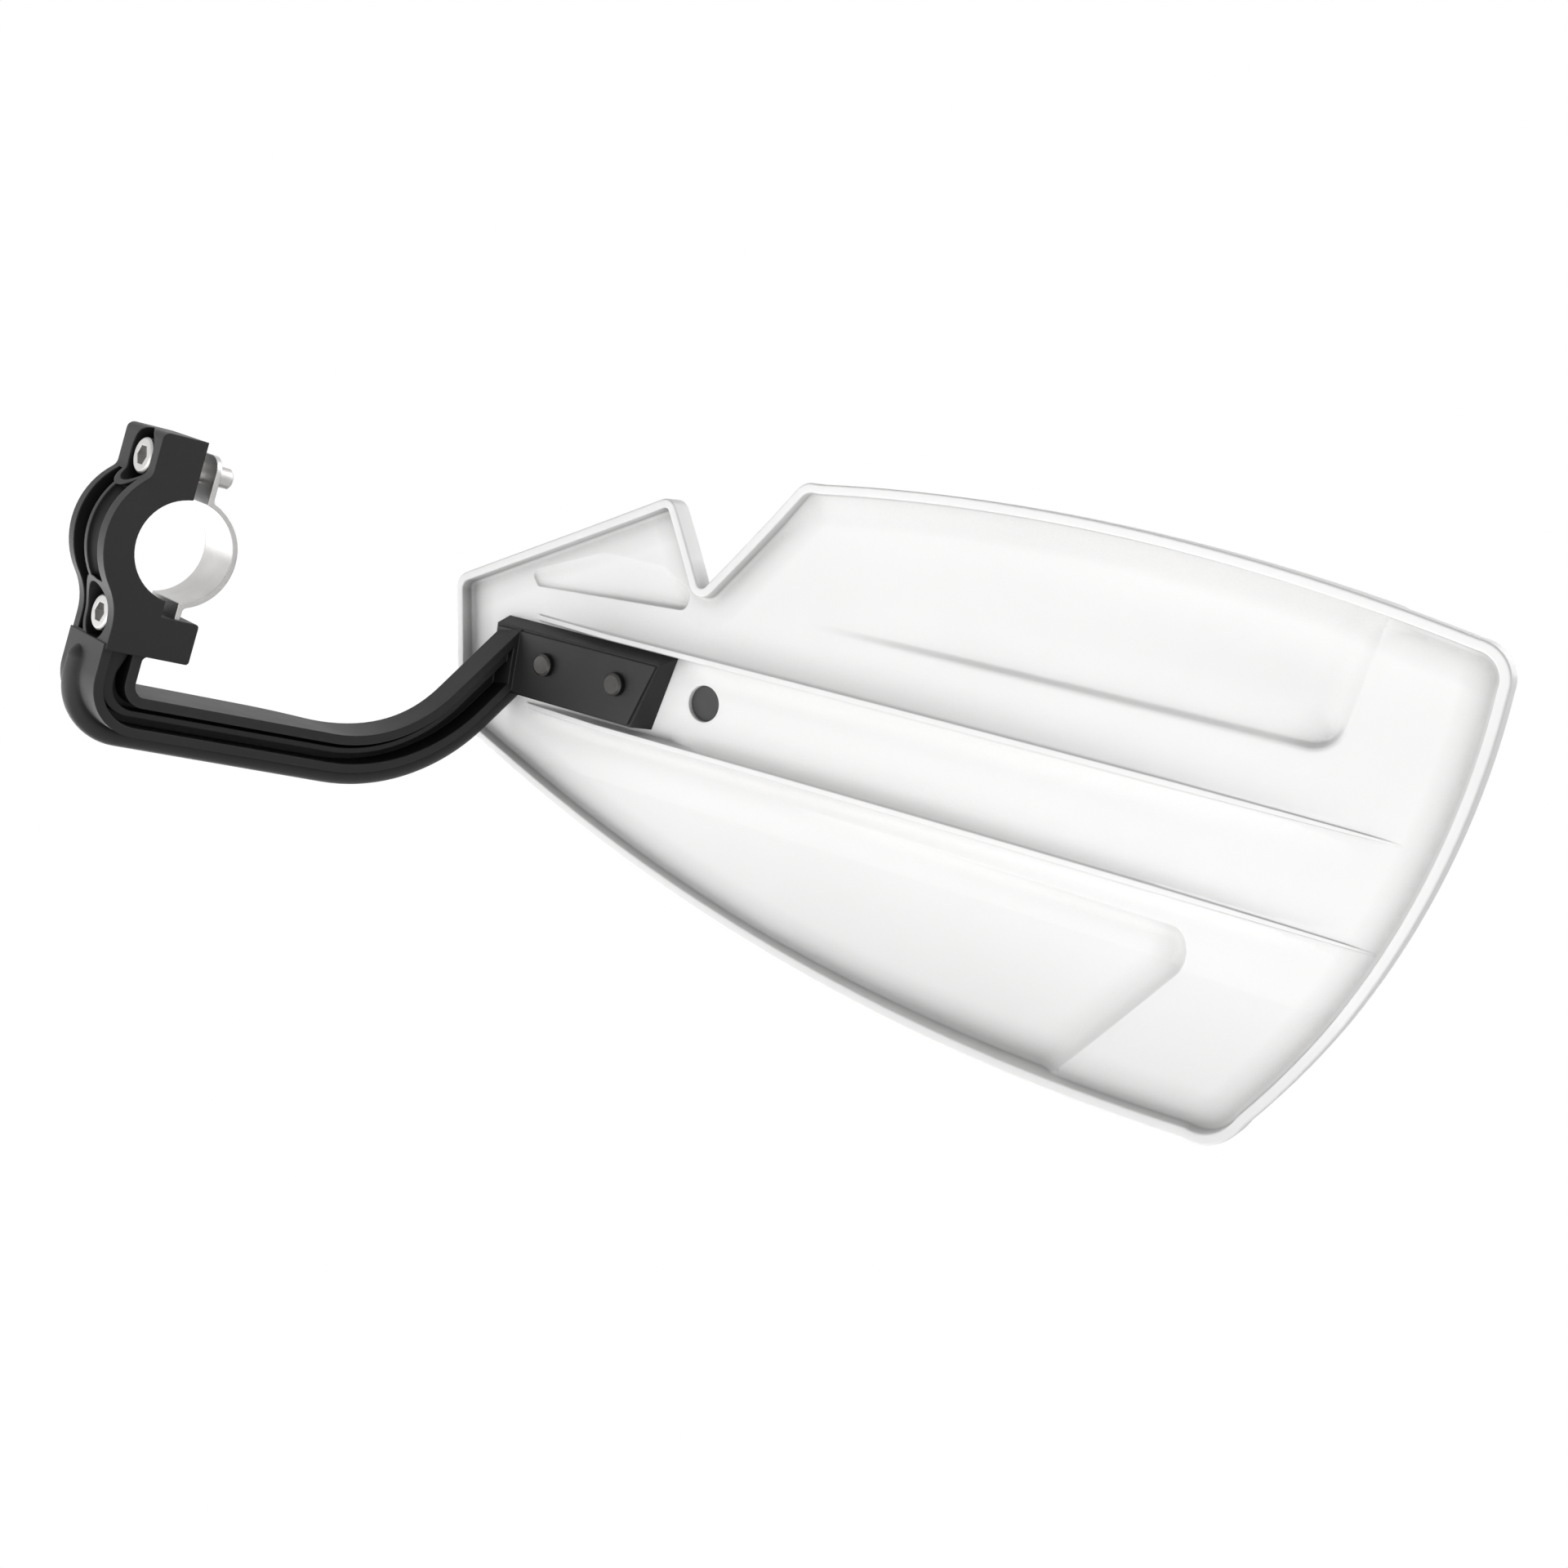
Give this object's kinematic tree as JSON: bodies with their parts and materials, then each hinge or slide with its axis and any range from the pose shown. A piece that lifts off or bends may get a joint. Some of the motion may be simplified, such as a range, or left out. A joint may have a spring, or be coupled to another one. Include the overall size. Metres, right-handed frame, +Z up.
{
  "type": "motorcycle hand guard",
  "caption": "White moulded shield on a curved black arm, with a split clamp that grips one end of a handlebar and keeps the shield in front of the rider's hand.",
  "frame": {"origin": "on the axis of the clamp's bore, in the plane of the two clamp screws", "axes": "+X along the handlebar and outwards to the shield's free end, +Y forwards from the rider, +Z up"},
  "size_m": [0.3264, 0.2029, 0.149],
  "materials": {
    "arm": "satin black moulded plastic, fine grain",
    "shield": "white moulded plastic, soft satin",
    "strap": "stamped steel, satin zinc plate",
    "screw": "zinc plated steel",
    "insert": "blackened steel",
    "plug": "matt black rubber"
  },
  "bodies": {
    "root": {"arm": "arm", "clamp_strap": "strap", "clamp_screw_upper": "screw", "clamp_screw_lower": "screw", "shield": "shield", "plate_insert_inner": "insert", "plate_insert_outer": "insert", "shield_washer_inner": "screw", "shield_washer_outer": "screw", "shield_screw_inner": "screw", "shield_screw_outer": "screw", "shield_hole_plug": "plug"}
  },
  "joints": []
}
